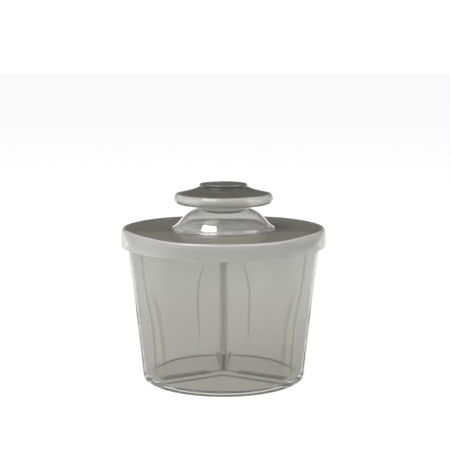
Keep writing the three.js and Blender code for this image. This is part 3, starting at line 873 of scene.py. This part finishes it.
def make_seal(name, inner, outer, node, body):
    """A flat soft ring with rounded edges."""
    foot, top = low(node), high(node)
    corners = ((inner, foot), (outer, foot), (outer, top), (inner, top))
    seal = bare(name, turned(rounded([(*corner, SEAL_ROUND) for corner in corners], 3), 160))
    seal.data.materials.append(soft_seal)
    settle(seal, body, "soft_seal", node)


make_tub()
make_guide_ribs()
make_divider()
make_lid()
make_spout()
make_cap()
make_seal("rim_seal", SPIGOT_RADIUS + SEAL_PLAY, RIM_RADIUS, "lid_seal", "seal_ring")
make_seal("mouth_seal", PLUG_RADIUS + SEAL_PLAY, NECK_RADIUS, "cap_liner", "cap_body")

# ---- Studio -----------------------------------------------------------------------------------


AIM = (0, 0, 0.085)
CAMERA_PLACE = (0.0008, -0.6354, 0.1743)
CAMERA_DIP = math.radians(8.26)
LENS_MM = 96.4
SENSOR_MM = 36
FLOOR_HALF = 9
FLOOR_DROP = 0.2 * MM
FLOOR_GLOW = 0.92
LIGHT_BOUNCES = 24
GLOSS_BOUNCES = 16


def make_floor():
    """A plain pale floor that glows a little, so that it stays white round the object."""
    built = bmesh.new()
    bmesh.ops.create_grid(built, x_segments=1, y_segments=1, size=FLOOR_HALF)
    floor = bare("studio_floor", built)
    floor.location.z = -FLOOR_DROP
    material = bpy.data.materials.new("pale_floor")
    material.use_nodes = True
    tree = material.node_tree
    shader = tree.nodes["Principled BSDF"]
    shader.inputs["Roughness"].default_value = 0.9
    shader.inputs["Specular IOR Level"].default_value = 0.1
    shader.inputs["Emission Color"].default_value = (1, 1, 1, 1)
    shader.inputs["Emission Strength"].default_value = FLOOR_GLOW
    speckle = tree.nodes.new("ShaderNodeTexNoise")
    speckle.inputs["Scale"].default_value = 30
    ramp = tree.nodes.new("ShaderNodeValToRGB")
    ramp.color_ramp.elements[0].color = (0.13, 0.13, 0.13, 1)
    ramp.color_ramp.elements[1].color = (0.16, 0.16, 0.16, 1)
    tree.links.new(object_place(tree), speckle.inputs["Vector"])
    tree.links.new(speckle.outputs["Fac"], ramp.inputs["Fac"])
    tree.links.new(ramp.outputs["Color"], shader.inputs["Base Color"])
    floor.data.materials.append(material)


def make_softbox(name, place, target, width, height, power):
    """A soft rectangular lamp that faces its target."""
    lamp = bpy.data.lights.new(name, "AREA")
    lamp.shape = "RECTANGLE"
    lamp.size = width
    lamp.size_y = height
    lamp.energy = power
    softbox = bpy.data.objects.new(name, lamp)
    bpy.context.scene.collection.objects.link(softbox)
    softbox.location = place
    softbox.rotation_euler = (Vector(target) - Vector(place)).to_track_quat("-Z", "Y").to_euler()
    return softbox


def make_world():
    """A dim studio with a lighter band low down, strongest on the far side."""
    world = bpy.data.worlds.new("studio")
    bpy.context.scene.world = world
    world.use_nodes = True
    tree = world.node_tree
    sums = Sums(tree)
    back = tree.nodes["Background"]
    split = tree.nodes.new("ShaderNodeSeparateXYZ")
    outlook = tree.nodes.new("ShaderNodeTexCoord").outputs["Generated"]
    tree.links.new(outlook, split.inputs[0])
    near_floor = sums("SUBTRACT", 1, sums.smooth(split.outputs["Z"], 0.05, 0.1))
    ahead = sums.smooth(split.outputs["Y"], -0.3, 0.4)
    level = sums("ADD", 0.14, sums("MULTIPLY", near_floor, sums("ADD", 0.25, ahead)))
    tree.links.new(level, back.inputs["Strength"])
    back.inputs["Color"].default_value = (1, 1, 1, 1)


def make_camera():
    lens = bpy.data.cameras.new("view")
    lens.lens = LENS_MM
    lens.sensor_width = SENSOR_MM
    lens.clip_end = 30
    camera = bpy.data.objects.new("view", lens)
    bpy.context.scene.collection.objects.link(camera)
    camera.location = CAMERA_PLACE
    camera.rotation_euler = (math.pi / 2 - CAMERA_DIP, 0, 0)
    bpy.context.scene.camera = camera


make_camera()
make_world()
make_floor()
make_softbox("softbox_left", (-0.5, -0.5, 0.8), AIM, 0.5, 0.7, 8)
make_softbox("softbox_right", (0.85, -0.35, 0.6), AIM, 0.4, 0.5, 5)
overhead = make_softbox("softbox_overhead", (-0.38, -0.07, 1.08), (-0.38, -0.07, 0),
                        0.46, 0.26, 10)
overhead.rotation_euler = (0, 0, math.radians(-30))
make_softbox("softbox_top", (0.4, 0.5, 1.2), (0, 0.1, 0), 0.6, 0.6, 3)
bpy.context.scene.cycles.max_bounces = LIGHT_BOUNCES
bpy.context.scene.cycles.transmission_bounces = LIGHT_BOUNCES
bpy.context.scene.cycles.glossy_bounces = GLOSS_BOUNCES
bpy.context.scene.view_settings.view_transform = "Standard"
